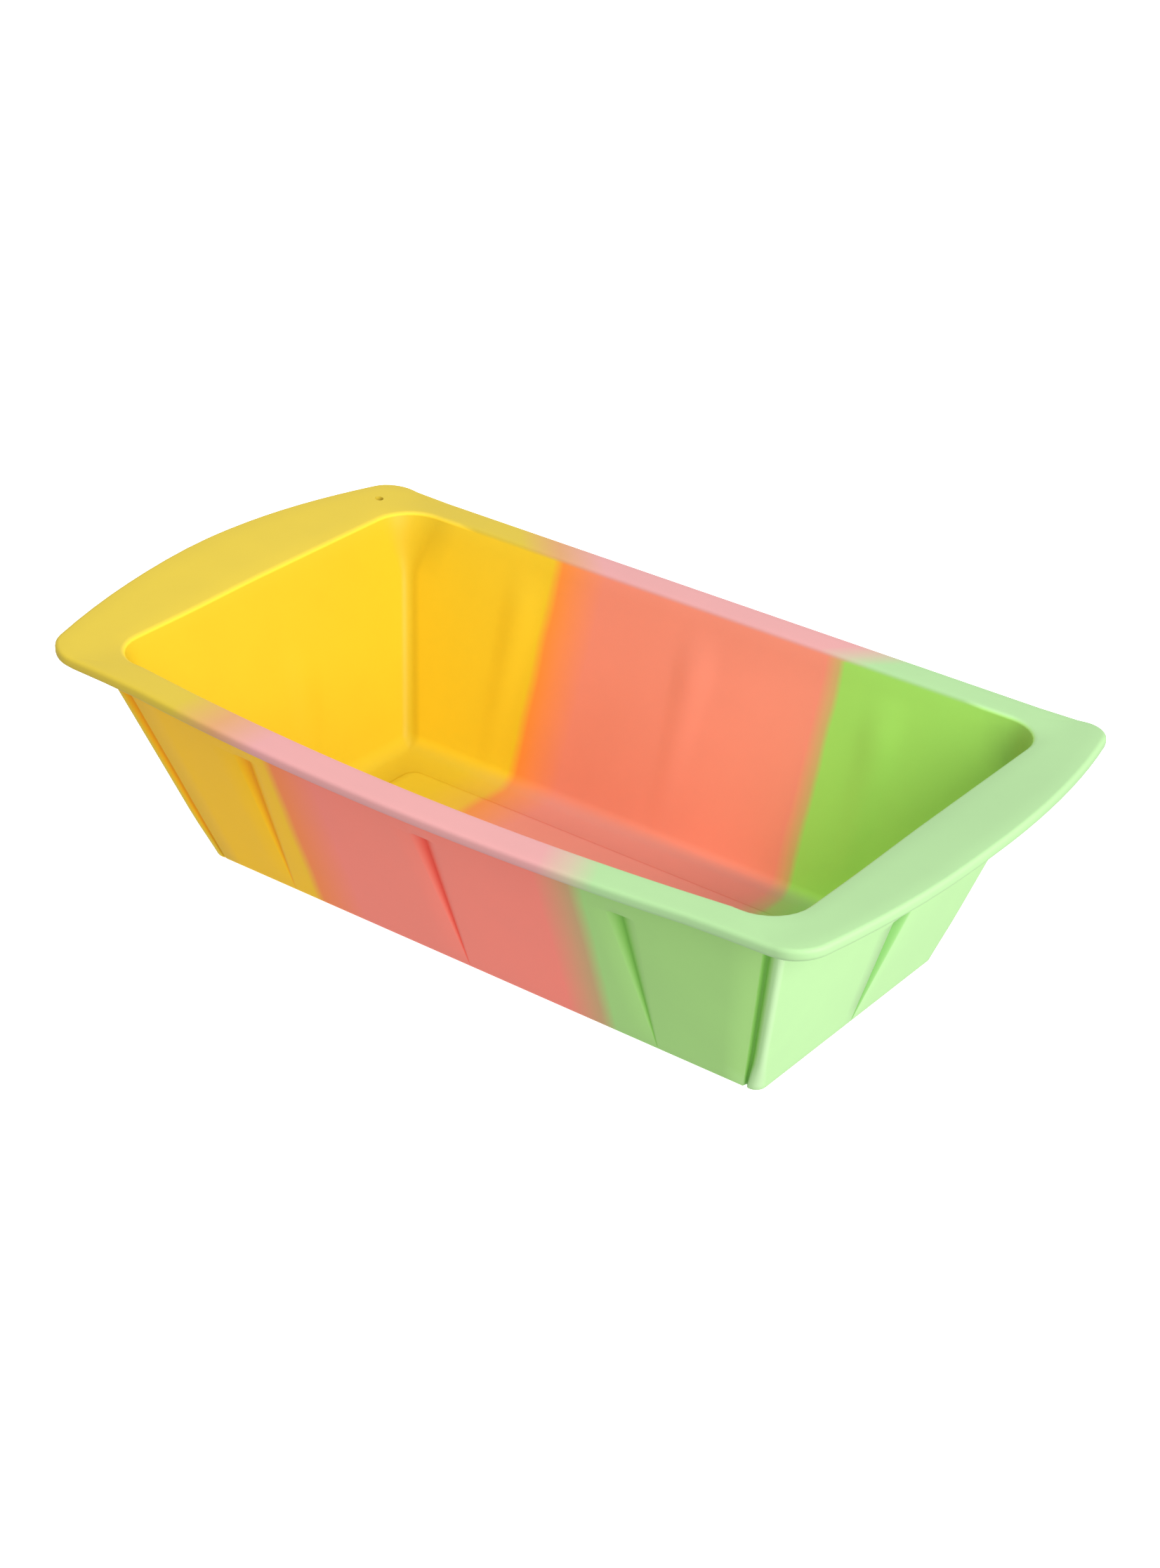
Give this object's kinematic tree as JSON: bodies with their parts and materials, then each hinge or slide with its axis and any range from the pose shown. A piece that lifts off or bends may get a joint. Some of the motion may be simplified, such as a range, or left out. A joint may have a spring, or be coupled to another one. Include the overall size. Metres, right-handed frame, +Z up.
{
  "type": "soap loaf mould",
  "caption": "Soft silicone loaf mould for soap, with flared pleated walls, a flat rim and curved end handles, pressed in yellow, pink and green.",
  "frame": {"origin": "centre of the flat underside of the base", "axes": "+X along the length towards the green handle, +Y across towards the straight long wall, +Z up out of the opening"},
  "size_m": [0.2714, 0.1532, 0.0726],
  "materials": {
    "yellow_silicone": "satin moulded silicone",
    "pink_silicone": "satin moulded silicone",
    "green_silicone": "satin moulded silicone"
  },
  "bodies": {
    "root": {"yellow_end": "yellow_silicone", "pink_middle": "pink_silicone", "green_end": "green_silicone"}
  },
  "joints": []
}
